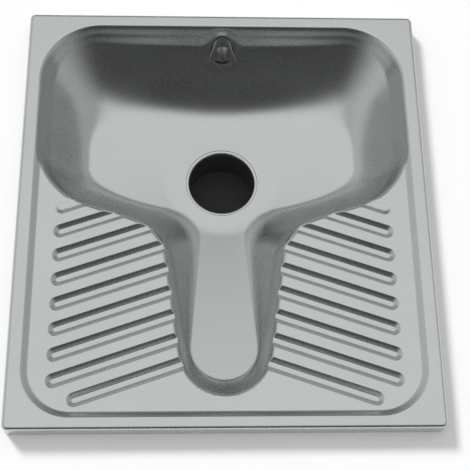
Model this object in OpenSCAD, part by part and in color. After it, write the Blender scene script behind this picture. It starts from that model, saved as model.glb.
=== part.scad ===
/* [Flange] */
// Overall width of the pan
pan_width = 600; // [560:5:660]
// Overall length of the pan, front to back
pan_length = 650; // [620:5:720]
// Thickness of the pressed sheet
sheet = 1.5; // [1.2:0.1:2]
// Height of the turned-down lip
lip_height = 30; // [26:1:45]
// Draft of the lip, how far its foot stands outside its top
lip_draft = 0.6; // [0.3:0.1:2]
// Radius of the bend between flange and lip
edge_radius = 6; // [4:0.5:9]
// Width of the flange at each side of the tray
rim_side = 20; // [14:1:30]
// Width of the flange in front of the tray
rim_front = 16; // [12:1:30]
// Width of the flange behind the tray
rim_back = 19; // [14:1:30]

/* [Tray and treads] */
// Depth of the sunken tray below the flange
tray_depth = 8; // [5:0.5:12]
// Width of the sloping step from the flange down to the tray
tray_step = 11; // [8:0.5:14]
// Plan radius of the two front corners of the tray
tray_corner_front = 70; // [55:1:85]
// Plan radius of the two back corners, which are the bowl's too
tray_corner_back = 94; // [80:1:110]
// Distance from the tray's back edge to the treads' back edge, at the point heel_x
heel_setback = 302; // [290:1:312]
// Distance from the middle to the point where that edge is measured
heel_x = 216; // [200:1:226]
// Angle at which the treads' back edges run in towards the trough
heel_angle = 18.4; // [14:0.2:22]
// Plan radius of the bowl's two front corners
bowl_corner = 74; // [60:1:84]

/* [Grooves] */
// Number of whole grooves in each tread
groove_count = 8; // [6:1:8]
// Distance between grooves, measured along the pan
groove_pitch = 36.5; // [33:0.5:38]
// Angle of the grooves to the pan's width
groove_angle = 18.8; // [14:0.2:22]
// Depth of a groove
groove_depth = 6.5; // [4:0.5:7]
// Width of a groove's floor
groove_floor = 5.2; // [4:0.2:7]
// Width of each sloping side of a groove
groove_side = 8.5; // [6:0.1:9.5]
// Distance of the grooves' outer ends from the tray's side edge
groove_margin = 38; // [30:1:50]
// Least distance of a groove's outer end from the tray's rounded corner
groove_corner_gap = 24; // [18:1:30]
// Distance of the rearmost groove in front of the drain's centre line, at heel_x
groove_setback = 124.5; // [120:0.5:130]
// Length over which a short groove reaches its full depth
groove_fade = 60; // [30:5:80]

/* [Bowl] */
// Depth of the drain's seat below the flange
drain_depth = 128; // [115:1:145]
// Distance from the tray's back edge to the middle of the drain
drain_setback = 212; // [200:1:222]
// Width of the flat seat round the outlet's welded flange
seat_margin = 4; // [2:0.5:8]
// Fall of the bowl's floor towards the drain, as rise over run
floor_fall = 0.21; // [0.12:0.01:0.26]
// Length over which the floor turns from the seat into its fall
fall_blend = 24; // [10:1:40]
// Width of the sloping wall at each side of the bowl
side_wall = 74; // [60:1:84]
// Width of the sloping wall at the back of the bowl
back_wall = 110; // [96:1:120]
// Distance of the bowl floor's widest line behind the drain's centre
floor_centre = 12; // [4:1:20]
// Reach of the bowl's floor in front of its widest line
floor_front = 62; // [58:1:74]
// Squareness of the back half of the bowl's floor, 2 for an oval
floor_square = 4.4; // [2:0.1:6]
// Share of the walls that runs out into the floor in one long sweep
wall_sweep = 0.7; // [0:0.05:1]
// Width over which the top of that sweep is rounded
wall_round = 20; // [12:1:30]

/* [Trough] */
// Distance from the tray's front edge to the trough's round end
trough_gap = 28; // [20:1:40]
// Plan radius of the trough's round end at the treads
trough_end = 68; // [60:1:76]
// Angle at which each side of the trough opens towards the drain
trough_flare = 8.6; // [6:0.2:11]
// Width of the sloping wall at the trough's round end
trough_wall = 42; // [34:1:50]
// Plan radius of the trough floor's round end
trough_floor = 48; // [42:1:54]
// Angle at which each side of the trough's floor closes towards the drain
trough_floor_taper = 4.9; // [3:0.1:7]
// Blend where the trough's floor opens into the bowl's
throat_blend = 60; // [40:2:80]
// Blend where the treads' edges turn from the bowl into the trough
shoulder_blend = 44; // [30:2:60]

/* [Outlet] */
// Outside diameter of the outlet spigot, for a soil pipe socket
spigot_d = 110; // [106:1:114]
// Wall of the outlet spigot
spigot_wall = 1.5; // [1.2:0.1:2.5]
// Length of the spigot below the drain's seat
spigot_length = 72; // [60:1:90]
// Radius of the rolled edge where the collar turns down into the drain
drain_roll = 4; // [3:0.5:6]
// Length of the drain collar's neck inside the spigot
neck_length = 16; // [12:1:30]
// Wall of the drain collar
collar_wall = 1.5; // [1.2:0.1:2]
// Width of the collar's flat rim outside its rolled edge
collar_rim = 1.3; // [1:0.1:4]
// Width of the welded flange beyond the collar
weld_lap = 9; // [6:0.5:14]
// Thickness of the welded flange
weld_flange = 2; // [1.5:0.1:3]
// Size of the weld between that flange and the spigot
weld_fillet = 3; // [2:0.5:5]

/* [Flush inlet] */
// Distance from the tray's back edge to the middle of the inlet hole
inlet_setback = 25; // [22:0.5:30]
// Width of the flat land round the inlet's gaskets
inlet_land = 5; // [2:0.5:8]
// Inside diameter of the inlet tail
tail_bore = 23; // [18:0.5:25]
// Outside diameter of the inlet tail, over its thread
tail_d = 28; // [27:0.5:31]
// Length of the tail behind the bowl's wall
tail_length = 52; // [46:1:62]
// Width of the spreader hood at its mouth
hood_width = 46; // [42:1:52]
// Width of the hood at its round top
hood_top = 26; // [24:1:30]
// Reach of the hood above the middle of the inlet
hood_reach = 27; // [26:0.5:30]
// Distance of the hood's mouth below the middle of the inlet
hood_drop = 13; // [12:0.5:18]
// How far the hood stands off the wall at its mouth
hood_depth = 14; // [12:0.5:18]
// How far the hood stands off the wall at its top
hood_top_depth = 8.5; // [8:0.5:11]
// Wall of the hood
hood_wall = 1.8; // [1.5:0.1:2.2]
// Width of the raised bead along the hood's edge
hood_bead = 7; // [5:0.5:8]
// Height of that bead
hood_bead_rise = 1.2; // [0.8:0.1:1.6]
// Diameter of the small vent near the hood's top
hood_vent = 5; // [3:0.5:7]
// Width of the gaskets' ring round the inlet tail
gasket_ring = 5; // [4:0.5:7]
// Thickness of a gasket
gasket = 2; // [1.5:0.1:3]
// Thickness of the inlet washer
inlet_washer_t = 1.5; // [1:0.1:2.5]
// Distance across the flats of the back nut
backnut_af = 38; // [37:0.5:42]
// Thickness of the back nut
backnut_t = 8; // [6:0.5:12]
// Diameter of the flush pipe that the sleeve takes
flush_pipe_d = 28; // [25:0.5:32]
// Wall of the rubber flush pipe sleeve
sleeve_wall = 3; // [2:0.2:4]
// Length of the sleeve behind the tail's end
sleeve_reach = 26; // [22:1:36]
// How far the sleeve overlaps the tail
sleeve_overlap = 18; // [16:1:22]
// Height of the beads at the sleeve's ends
sleeve_bead = 1.2; // [0.8:0.1:1.6]
// Width of the two sleeve clips
clip_width = 9; // [7:0.5:10]
// Thickness of the clips' band
clip_band = 1; // [0.8:0.1:1.5]
// Diameter of the clips' worm screws
clip_screw_d = 6; // [5:0.5:7]

/* [Anchors and stiffeners] */
// Width of an anchor lug
lug_width = 40; // [30:1:50]
// Thickness of an anchor lug
lug_sheet = 2; // [1.5:0.1:3]
// Inside radius of the lug's bend
lug_bend = 2; // [1:0.5:3]
// Distance of the lug's top below the flange's bend
lug_drop = 3; // [1:0.5:6]
// Width of the lug's foot beyond the anchor hole
lug_edge = 6.5; // [5:0.5:8]
// Corner radius of the lug's foot
lug_corner = 6; // [3:0.5:8]
// Diameter of the anchor holes
anchor_hole_d = 9; // [6.5:0.5:10]
// Distance of the anchor holes from the pan's side
anchor_inset = 15; // [13:0.5:17]
// Distance of the anchor holes from the pan's front and back ends
anchor_end = 100; // [85:5:135]
// Gap between the lip's inside and what is spot-welded to it
weld_gap = 0.1; // [0:0.05:0.3]
// Width of a stiffening channel
channel_width = 30; // [24:1:36]
// Thickness of a stiffening channel
channel_sheet = 1.5; // [1:0.1:2]
// Width of each foot flange of a channel
channel_flange = 10; // [8:1:14]
// Height of the channels' lower face above the lip's foot
channel_lift = 1; // [0.5:0.1:2]
// Length of the outer channel under each tread
channel_long = 210; // [180:5:230]
// Length of the inner channel under each tread
channel_short = 150; // [120:5:165]
// Distance of the outer channels' middle from the tray's side edge
channel_outer_in = 66; // [58:1:74]
// Distance of the inner channels' middle from the tray's side edge
channel_inner_in = 130; // [126:1:134]
// Distance of the channels' back ends from the treads' back edge
channel_setback = 22; // [16:1:30]
// Clearance between the grooves' undersides and the channels
channel_gap = 0.3; // [0.1:0.05:0.5]

/* [Bonding point] */
// Width of the bonding tag
tag_width = 18; // [16:1:24]
// Reach of the tag's foot in from the lip
tag_reach = 24; // [20:1:26]
// Height of the bonding tag
tag_height = 16; // [12:0.5:17]
// Height of the tag's foot above the lip's foot
tag_lift = 3; // [2:0.5:4]
// Thickness of the bonding tag
tag_sheet = 2; // [1.5:0.1:3]
// Inside radius of the tag's bend
tag_bend = 1.5; // [1:0.5:3]
// Corner radius of the tag's foot
tag_corner = 4; // [2:0.5:6]
// Diameter of the tag's hole, for the bonding wire's screw
tag_hole_d = 6.6; // [5.5:0.1:8.5]
// Width of the tag's foot beyond its hole
tag_edge = 5.5; // [4:0.5:7]
// Distance of the bonding tag in front of the pan's middle
tag_y = 120; // [90:5:160]

/* [Hidden] */

steel = [0.78, 0.79, 0.80];
dull_steel = [0.62, 0.63, 0.64];
rubber = [0.12, 0.12, 0.13];
brass = [0.80, 0.67, 0.36];

fit_gap = 0.3;      // round a piece that passes through another
seat_gap = 0.1;     // between flat faces that are pressed on each other
tiny = 0.001;
over = 1;           // how far a cut, or a piece joined on, runs past the face that it meets
round_fn = 96;
small_fn = 48;
bend_steps = 8;     // steps in a quarter bend

half_w = pan_width/2;
half_l = pan_length/2;
tray_half = half_w - rim_side;
tray_front = -half_l + rim_front;
tray_back = half_l - rim_back;

// ---------------------------------------------------------------- shape of the pressing
// Distances are in plan. "in" is positive inside an outline, "out" is positive outside it.
function clamp01(t) = max(0, min(1, t));
function ease(t) = let (c = clamp01(t)) c*c*(3 - 2*c);
function mix(a, b, t) = a + (b - a)*t;
function smooth_min(a, b, k) = let (h = max(k - abs(a - b), 0)/k) min(a, b) - h*h*k/4;
function smooth_max(a, b, k) = -smooth_min(-a, -b, k);
// Distance inside two edges that meet in a corner of radius r
function corner_in(a, b, r) =
    a >= r && b >= r ? min(a, b) : r - norm([max(r - a, 0), max(r - b, 0)]);

// The tray's outline
function side_in(x) = tray_half - abs(x);
function back_in(x, y) = corner_in(side_in(x), tray_back - y, tray_corner_back);
function front_in(x, y) = corner_in(side_in(x), y - tray_front, tray_corner_front);
function tray_in(x, y) = min(back_in(x, y), front_in(x, y));

// The treads' back edge, which is the bowl's front edge
heel_y = tray_back - heel_setback;
function heel_in(x, y) = cos(heel_angle)*(y - heel_y) - sin(heel_angle)*(abs(x) - heel_x);
function bowl_in(x, y) = corner_in(back_in(x, y), heel_in(x, y), bowl_corner);

// The trough's outline at the treads: a round end with sides that open towards the drain
trough_y = tray_front + trough_gap + trough_end;
function trough_in(x, y) =
    let (along = abs(x)*sin(trough_flare) + (y - trough_y)*cos(trough_flare),
         across = abs(x)*cos(trough_flare) - (y - trough_y)*sin(trough_flare))
    min(trough_end - (along < 0 ? norm([x, y - trough_y]) : across), drain_y - y);
function hollow_in(x, y) = smooth_max(bowl_in(x, y), trough_in(x, y), shoulder_blend);

// The floor's outline: an oval in the bowl, squarer at the back, and a slot in the trough
drain_y = tray_back - drain_setback;
floor_y = drain_y + floor_centre;
floor_half = tray_half - side_wall;
floor_back = tray_back - back_wall - floor_y;
function oval_out(x, y) =
    let (dy = y - floor_y, b = dy > 0 ? floor_back : floor_front, q = dy > 0 ? floor_square : 2,
         u = abs(x)/floor_half, v = abs(dy)/b, rho = pow(pow(u, q) + pow(v, q), 1/q))
    rho < tiny ? -b : (rho - 1)/norm([pow(u/rho, q - 1)/floor_half, pow(v/rho, q - 1)/b]);
slot_y = tray_front + trough_gap + trough_wall + trough_floor;
function slot_out(x, y) =
    let (along = -abs(x)*sin(trough_floor_taper) + (y - slot_y)*cos(trough_floor_taper),
         across = abs(x)*cos(trough_floor_taper) + (y - slot_y)*sin(trough_floor_taper))
    max((along < 0 ? norm([x, y - slot_y]) : across) - trough_floor, y - drain_y);
function floor_out(x, y) = smooth_min(oval_out(x, y), slot_out(x, y), throat_blend);

// Radii of the drain and outlet, from the spigot's bore outwards
spigot_r = spigot_d/2;
spigot_bore = spigot_r - spigot_wall;
neck_out = spigot_bore - fit_gap;
neck_in = neck_out - collar_wall;
roll_r = neck_in + drain_roll;
collar_r = roll_r + collar_rim;
drain_hole_r = collar_r + fit_gap;
weld_r = drain_hole_r + weld_lap;
drain_seat = weld_r + seat_margin;

// Height of the floor: a flat seat round the drain, and a fall towards it from everywhere else
function floor_rise(t) = t < 0 ? 0 : t < fall_blend ? t*t/(2*fall_blend) : t - fall_blend/2;
function floor_z(x, y) =
    -drain_depth + floor_fall*floor_rise(norm([x, y - drain_y]) - drain_seat);

// How far down the hollow's wall a point lies, from 0 at its top to 1 at its foot
function wall_share(x, y) =
    let (a = max(hollow_in(x, y), 0), width = a + max(floor_out(x, y), 0), t = a/width)
    a <= 0 ? 0 : mix(ease(t), (1 - (1 - t)*(1 - t))*ease(a/min(wall_round, width)), wall_sweep);

// A straight slope from 0 to 1 with a rounded start and end
slope_round = 0.25;
function slope(t) =
    let (c = clamp01(t), r = slope_round)
    (c < r ? c*c/(2*r) : c > 1 - r ? 1 - r - (1 - c)*(1 - c)/(2*r) : c - r/2)/(1 - r);

// The grooves. Each runs inward and back from its round outer end, and opens into the hollow.
groove_y = drain_y - groove_setback;
groove_cap = (groove_floor + groove_side)/2;    // radius of the round end, at half depth
function groove_line_y(i) = groove_y - i*groove_pitch;
function groove_mid_y(i, x) = groove_line_y(i) - (x - heel_x)*tan(groove_angle);
end_step = 2;       // step of the search for a groove's outer end
function groove_end_x(i) =
    [for (x = tray_half - groove_margin; x > trough_end; x = x - end_step)
         if (tray_in(x, groove_mid_y(i, x)) > groove_corner_gap) x][0];
groove_ends = [for (i = [-1:groove_count - 1]) groove_end_x(i)];
// Length of a groove before it reaches the treads' back edge
function groove_run(i) =
    let (x_meet = heel_x + (groove_line_y(i) - heel_y)/(tan(groove_angle) + tan(heel_angle)))
    max(groove_ends[i + 1] - x_meet, 0)/cos(groove_angle);
function groove_full(i) = groove_depth*clamp01(groove_run(i)/groove_fade);
function groove_at(x, y) =
    let (back = groove_mid_y(0, abs(x)) - y,
         i = max(-1, min(groove_count - 1, round(back/groove_pitch))),
         across = (back - i*groove_pitch)*cos(groove_angle),
         end = groove_ends[i + 1],
         past = (abs(x) - end)/cos(groove_angle) + across*tan(groove_angle) + groove_cap,
         off = past > 0 ? norm([past, across]) : abs(across))
    groove_full(i)*slope(1 - (off - groove_floor/2)/groove_side);

// Height of the top of the sheet inside the tray's outline, before the inlet's land
function wall_z(x, y) =
    let (step = tray_depth*ease(tray_in(x, y)/tray_step),
         hollow = wall_share(x, y)*(-floor_z(x, y) - tray_depth),
         groove = groove_at(x, y)*ease(tray_in(x, y)/tray_step - 1))
    -step - smooth_max(groove, hollow, max(min(groove, hollow, groove_depth/2), tiny));

// The inlet's place on the back wall, and the flat land pressed round it
inlet_y = tray_back - inlet_setback;
inlet_z = wall_z(0, inlet_y);
inlet_probe = 8;    // half the length over which the wall's slope is taken
inlet_slope = atan((wall_z(0, inlet_y + inlet_probe) - wall_z(0, inlet_y - inlet_probe))/(2*inlet_probe));
tail_r = tail_d/2;
gasket_r = tail_r + gasket_ring;
land_r = gasket_r + inlet_land;
land_blend = 14;    // width over which the land runs into the wall
function pan_z(x, y) =
    let (off = norm([x, (y - inlet_y)/cos(inlet_slope)]),
         land = inlet_z + (y - inlet_y)*tan(inlet_slope))
    mix(wall_z(x, y), land, ease((land_r + land_blend - off)/land_blend));

// ---------------------------------------------------------------- mesh of the pressing
// Lines along the pan: near the side as distances in from the tray's edge, near the middle as distances
// from it, with some at the land, and even steps between the two
land_line = land_r*2/sqrt(5);      // the widest square grid of half lines that keeps its faces on the land
side_lines = [0, tray_step, 23, 34, 42, 52, 70];
middle_lines = [100, 88, 77, 67, 57, 46, 35, land_line, land_line/2];
side_steps = 5;
side_end = tray_half - side_lines[len(side_lines) - 1];
edge_bend = edge_radius*(1 - cos(45));
// The lip and the bend, as [distance in from the pan's edge, height]
rim_lines = [[0, -lip_height], [lip_draft, -edge_radius], [lip_draft + edge_bend, -edge_bend],
             [lip_draft + edge_radius, 0]];
rims = len(rim_lines);
half_columns = concat([for (r = rim_lines) [half_w - r[0], r[1]]],
                      [for (d = side_lines) [tray_half - d, 0]],
                      [for (k = [1:side_steps - 1]) [mix(side_end, middle_lines[0], k/side_steps), 0]],
                      [for (x = middle_lines) [x, 0]]);
halves = len(half_columns);
columns = concat([for (c = half_columns) [-c[0], c[1]]], [[0, 0]],
                 [for (k = [halves - 1:-1:0]) half_columns[k]]);

// Lines along the pan, as [place at heel_x, height, share of the grooves' angle]
groove_top = (groove_floor/2 + groove_side)/cos(groove_angle);
groove_foot = groove_floor/2/cos(groove_angle);
land_reach = land_line*cos(inlet_slope);        // of the inlet's land, in plan
line_gap = 3;      // least distance of the other lines from the land's
foot_shares = [0.86, 0.72, 0.6, 0.49];     // of the back wall's width, for lines across its lower part
land_foot = inlet_setback + land_reach + line_gap;
wall_lines = concat([for (s = foot_shares) if (s*back_wall > land_foot) s*back_wall],
                    [for (k = [1:-1:-1]) inlet_setback + k*land_reach],
                    [for (d = [tray_step, 0]) if (d < inlet_setback - land_reach - line_gap) d]);
bowl_rows = 13;
bowl_crowd = 0.25;         // how much these draw together at the bowl's front
front_rows = 2;    // between the frontmost groove and the trough's round end
bowl_first = groove_line_y(0) + groove_top;
bowl_last = tray_back - back_wall;
rows = concat(
    [for (r = rim_lines) [-half_l + r[0], r[1], 0]],
    [[tray_front, 0, 0], [tray_front + tray_step, 0, 0]],
    [for (k = [front_rows:-1:1]) [groove_line_y(groove_count - 1) - groove_top - k*groove_pitch/2, 0, 1]],
    [for (i = [groove_count - 1:-1:0]) for (d = [-groove_top, -groove_foot, groove_foot, groove_top])
        [groove_line_y(i) + d, 0, 1]],
    [for (k = [1:bowl_rows]) let (t = k/bowl_rows)
        [mix(bowl_first, bowl_last, t*mix(1, t, bowl_crowd)), 0, 1 - ease(t)]],
    [for (d = wall_lines) [tray_back - d, 0, 0]],
    [for (k = [rims - 1:-1:0]) [half_l - rim_lines[k][0], rim_lines[k][1], 0]]);
nx = len(columns);
ny = len(rows);

// The lines in the trough draw together as the trough narrows
trough_wide = trough_end + (heel_y - trough_y)*tan(trough_flare);
function squeeze(x, y) =
    let (half = trough_end + max(0, min(heel_y, y) - trough_y)*tan(trough_flare),
         k = half/trough_wide)
    x*(1 - (1 - k)*(1 - ease((abs(x) - trough_wide)/(tray_half - trough_wide))));
// A square corner zone drawn into a quarter disc, so that the lines follow the tray's corners
function round_zone(x, y, cx, cy, r, way) =
    let (a = (abs(x) - cx)/r, b = way*(y - cy)/r)
    a <= 0 || b <= 0 ? [x, y] :
    let (m = max(a, b)*r, t = a >= b ? 45*b/a : 90 - 45*a/b)
    [sign(x)*(cx + m*cos(t)), cy + way*m*sin(t)];
function round_front(x, y) =
    round_zone(x, y, tray_half - tray_corner_front, tray_front + tray_corner_front, tray_corner_front, -1);
function round_back(x, y) =
    round_zone(x, y, tray_half - tray_corner_back, tray_back - tray_corner_back, tray_corner_back, 1);
row_gap = 1.6;     // least distance between lines that crowd at the front
// The lines slant with the grooves, and run straight across the trough
function line_y(x, j) =
    let (r = rows[j], past = smooth_max(abs(x), trough_end, trough_end/4),
         slant = r[0] - (past - heel_x)*tan(groove_angle)*r[2])
    r[2] == 0 ? r[0] : smooth_max(slant, tray_front + tray_step + row_gap*(j - rims - 1), row_gap);
function inside(i, j) = i >= rims && i < nx - rims && j >= rims && j < ny - rims;
function node_xy(i, j) =
    let (y = line_y(columns[i][0], j), x = squeeze(columns[i][0], y))
    !inside(i, j) ? [x, y] : y < 0 ? round_front(x, y) : round_back(x, y);
top_skin = [for (j = [0:ny - 1]) [for (i = [0:nx - 1])
    let (p = node_xy(i, j))
    [p[0], p[1], inside(i, j) ? pan_z(p[0], p[1]) : min(columns[i][1], rows[j][1])]]];
function skin_normal(i, j) =
    let (du = top_skin[j][min(i + 1, nx - 1)] - top_skin[j][max(i - 1, 0)],
         dv = top_skin[min(j + 1, ny - 1)][i] - top_skin[max(j - 1, 0)][i],
         n = cross(du, dv))
    n/norm(n);
under_skin = [for (j = [0:ny - 1]) [for (i = [0:nx - 1])
    let (p = top_skin[j][i] - sheet*skin_normal(i, j),
         foot = i == 0 || j == 0 || i == nx - 1 || j == ny - 1)
    [p[0], p[1], foot ? -lip_height : p[2]]]];

function at(i, j, under) = (under ? nx*ny : 0) + j*nx + i;
// Whether a cell is split from its right front corner to its left back one. That is so in the left half,
// and the other way round in the upper half of the land, where the split passes outside the gaskets.
function split_left(i, j) =
    let (land_top = rows[j][0] > inlet_y - tiny && abs(columns[i][0] + columns[i + 1][0])/2 < land_line)
    land_top ? i > nx/2 - 1 : i < nx/2 - 1;
function cell(i, j, under) =
    let (a = at(i, j, under), b = at(i + 1, j, under), c = at(i + 1, j + 1, under), d = at(i, j + 1, under),
         left = split_left(i, j))
    under ? (left ? [[a, b, d], [b, c, d]] : [[a, b, c], [a, c, d]])
          : (left ? [[a, d, b], [b, d, c]] : [[a, c, b], [a, d, c]]);
edge_loop = concat([for (i = [0:nx - 2]) [i, 0]], [for (j = [0:ny - 2]) [nx - 1, j]],
                   [for (i = [nx - 1:-1:1]) [i, ny - 1]], [for (j = [ny - 1:-1:1]) [0, j]]);
edge_n = len(edge_loop);
module pressing() {
    polyhedron(
        points = concat([for (row = top_skin) each row], [for (row = under_skin) each row]),
        faces = concat(
            [for (j = [0:ny - 2]) for (i = [0:nx - 2]) for (under = [false, true]) each cell(i, j, under)],
            [for (k = [0:edge_n - 1])
                let (p = edge_loop[k], q = edge_loop[(k + 1)%edge_n],
                     a = at(p[0], p[1], false), b = at(q[0], q[1], false),
                     c = at(q[0], q[1], true), d = at(p[0], p[1], true))
                each [[a, b, c], [a, c, d]]]),
        convexity = 8);
}

// Places the children at the inlet, with +Z out of the bowl's wall and +Y up the wall
module at_inlet() translate([0, inlet_y, inlet_z]) rotate([inlet_slope, 0, 0]) children();
// Places the children at the middle of the drain's seat
module at_drain() translate([0, drain_y, -drain_depth]) children();
module ring(outer, inner, height, sides = round_fn) {
    difference() {
        cylinder(r = outer, h = height, $fn = sides);
        translate([0, 0, -over]) cylinder(r = inner, h = height + 2*over, $fn = sides);
    }
}
function arc(cx, cy, r, from, to, steps) =
    [for (k = [0:steps]) let (a = mix(from, to, k/steps)) [cx + r*cos(a), cy + r*sin(a)]];

module pan() {
    color(steel) difference() {
        pressing();
        at_drain() translate([0, 0, -drain_roll - sheet])
            cylinder(r = drain_hole_r, h = 2*(drain_roll + sheet), $fn = round_fn);
        at_inlet() translate([0, 0, -2*gasket - sheet])
            cylinder(r = tail_r + fit_gap, h = 2*(2*gasket + sheet), $fn = small_fn);
    }
}

// ---------------------------------------------------------------- drain and outlet
module drain_collar() {
    color(steel) at_drain() translate([0, 0, collar_wall - sheet])
        rotate_extrude($fn = round_fn) polygon(concat(
            [[collar_r, 0]], arc(roll_r, -drain_roll, drain_roll, 90, 180, bend_steps),
            [[neck_in, -neck_length], [neck_out, -neck_length]],
            arc(roll_r, -drain_roll, drain_roll - collar_wall, 180, 90, bend_steps),
            [[collar_r, -collar_wall]]));
}

weld_top = -sheet - seat_gap;
weld_foot = weld_top - weld_flange;
spigot_bevel = spigot_wall/2;
// The bore widens at its top to clear the collar's rolled edge
module outlet_spigot() {
    color(dull_steel) at_drain() rotate_extrude($fn = round_fn) polygon([
        [spigot_bore, -spigot_length], [spigot_r - spigot_bevel, -spigot_length],
        [spigot_r, spigot_bevel - spigot_length], [spigot_r, weld_foot - weld_fillet],
        [spigot_r + weld_fillet, weld_foot], [weld_r, weld_foot], [weld_r, weld_top],
        [roll_r, weld_top], [spigot_bore, collar_wall - sheet - drain_roll - seat_gap]]);
}

// ---------------------------------------------------------------- flush inlet
hood_foot = gasket + 2*seat_gap;
hood_r = hood_top/2;
// An arch drawn in by inset, from height low up to the hood's slanted face less sunk
module arch(inset, low, sunk, below) {
    hull() {
        translate([inset - hood_width/2, -hood_drop - below, low])
            cube([hood_width - 2*inset, tiny, hood_depth - sunk - low]);
        translate([0, hood_reach - hood_r, low])
            cylinder(r = hood_r - inset, h = hood_top_depth - sunk - low, $fn = small_fn);
    }
}
module flush_spreader() {
    color(steel) at_inlet() difference() {
        union() {
            arch(0, hood_foot, 0, 0);
            translate([0, 0, -tail_length])
                cylinder(r = tail_r, h = tail_length + hood_foot + hood_wall, $fn = round_fn);
        }
        arch(hood_wall, hood_foot + hood_wall, hood_wall + hood_bead_rise, over);
        arch(hood_bead, hood_top_depth - hood_bead_rise, -hood_bead_rise, over);
        translate([0, 0, -tail_length - over]) cylinder(
            r = tail_bore/2, h = tail_length + over + hood_foot + hood_wall + seat_gap, $fn = round_fn);
        translate([0, hood_reach - hood_r, hood_foot + hood_wall])
            cylinder(r = hood_vent/2, h = hood_depth, $fn = small_fn);
    }
}

// Heights in the stack behind the wall, each the face nearest the wall
rear_gasket_z = -sheet - seat_gap;
washer_z = rear_gasket_z - gasket - seat_gap;
backnut_z = washer_z - inlet_washer_t - seat_gap;
module front_gasket() {
    color(rubber) at_inlet() translate([0, 0, seat_gap]) ring(gasket_r, tail_r + fit_gap, gasket);
}
module rear_gasket() {
    color(rubber) at_inlet() translate([0, 0, rear_gasket_z - gasket])
        ring(gasket_r, tail_r + fit_gap, gasket);
}
module inlet_washer() {
    color(steel) at_inlet() translate([0, 0, washer_z - inlet_washer_t])
        ring(gasket_r, tail_r + fit_gap, inlet_washer_t);
}
// A hexagon with its corners turned off at both ends
module hex_body(af, height) {
    intersection() {
        cylinder(r = af/2/cos(30), h = height, $fn = 6);
        union() {
            cylinder(r1 = af/2, r2 = af/2 + height/2, h = height/2, $fn = small_fn);
            translate([0, 0, height/2])
                cylinder(r1 = af/2 + height/2, r2 = af/2, h = height/2, $fn = small_fn);
        }
    }
}
module inlet_backnut() {
    color(brass) at_inlet() translate([0, 0, backnut_z - backnut_t]) difference() {
        hex_body(backnut_af, backnut_t);
        translate([0, 0, -over])
            cylinder(r = tail_r + seat_gap, h = backnut_t + 2*over, $fn = round_fn);
    }
}

pipe_r = flush_pipe_d/2;
sleeve_tail_r = tail_r + seat_gap + sleeve_wall;
sleeve_pipe_r = pipe_r + sleeve_wall;
sleeve_front = sleeve_overlap;
sleeve_step = 1;          // half the length over which the sleeve's bore changes
bead_length = 2.5;        // along the sleeve
module flush_pipe_sleeve() {
    color(rubber) at_inlet() translate([0, 0, -tail_length]) rotate_extrude($fn = round_fn) polygon([
        [tail_r + seat_gap, sleeve_front], [sleeve_tail_r + sleeve_bead, sleeve_front],
        [sleeve_tail_r + sleeve_bead, sleeve_front - bead_length],
        [sleeve_tail_r, sleeve_front - bead_length],
        [sleeve_tail_r, sleeve_step], [sleeve_pipe_r, -sleeve_step],
        [sleeve_pipe_r, bead_length - sleeve_reach],
        [sleeve_pipe_r + sleeve_bead, bead_length - sleeve_reach],
        [sleeve_pipe_r + sleeve_bead, -sleeve_reach], [pipe_r, -sleeve_reach],
        [pipe_r, -2*sleeve_step], [tail_r + seat_gap, -seat_gap]]);
}
clip_house = 12;          // length of the clip's screw housing, along the screw
clip_head = 4;            // length of the clip screw's head
module clip(inner) {
    outer = inner + clip_band;
    screw_y = -outer - clip_screw_d/2;
    difference() {
        union() {
            cylinder(r = outer, h = clip_width, $fn = round_fn);
            translate([-clip_house/2, screw_y - clip_screw_d/2 - clip_band, 0])
                cube([clip_house, outer + clip_screw_d + clip_band - inner*cos(45), clip_width]);
            translate([clip_house/2 - over, screw_y, clip_width/2]) rotate([0, 90, 0])
                cylinder(r = clip_screw_d/2, h = clip_head + over, $fn = small_fn);
        }
        translate([0, 0, -over]) cylinder(r = inner, h = clip_width + 2*over, $fn = round_fn);
    }
}
module sleeve_clip_tail() {
    color(steel) at_inlet() translate([0, 0, -tail_length + (sleeve_front - bead_length - clip_width)/2])
        clip(sleeve_tail_r + seat_gap);
}
module sleeve_clip_pipe() {
    color(steel) at_inlet()
        translate([0, 0, -tail_length - (sleeve_reach - bead_length + clip_width)/2])
            clip(sleeve_pipe_r + seat_gap);
}

// ---------------------------------------------------------------- anchors and stiffeners
lip_inside = half_w - sheet - lip_draft - weld_gap;
anchor_x = half_w - anchor_inset;
anchor_y = half_l - anchor_end;
lug_height = lip_height - edge_radius - lug_drop;
lug_reach = lip_inside - anchor_x + anchor_hole_d/2 + lug_edge;
// A bent angle with its upright leg at x = 0 and its foot along +X, rounded and with a hole at hole_x
module angle_piece(width, height, reach, t, bend, corner, hole_x, hole_d) {
    difference() {
        intersection() {
            rotate([90, 0, 0]) translate([0, 0, -width/2]) linear_extrude(width) polygon(concat(
                [[0, height]], arc(t + bend, t + bend, t + bend, 180, 270, bend_steps),
                [[reach, 0], [reach, t]], arc(t + bend, t + bend, bend, 270, 180, bend_steps),
                [[t, height]]));
            linear_extrude(height) union() {
                translate([0, -width/2]) square([reach - corner, width]);
                translate([0, corner - width/2]) square([reach, width - 2*corner]);
                for (side = [-1, 1])
                    translate([reach - corner, side*(width/2 - corner)])
                        circle(r = corner, $fn = small_fn);
            }
        }
        translate([hole_x, 0, -over]) cylinder(r = hole_d/2, h = t + 2*over, $fn = small_fn);
    }
}
module place_lug(side, end) {
    color(dull_steel) translate([side*lip_inside, end*anchor_y, -lip_height])
        rotate([0, 0, side < 0 ? 0 : 180])
            angle_piece(lug_width, lug_height, lug_reach, lug_sheet, lug_bend, lug_corner,
                        lip_inside - anchor_x, anchor_hole_d);
}
module anchor_lug_front_left() { place_lug(-1, -1); }
module anchor_lug_front_right() { place_lug(1, -1); }
module anchor_lug_back_left() { place_lug(-1, 1); }
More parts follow.
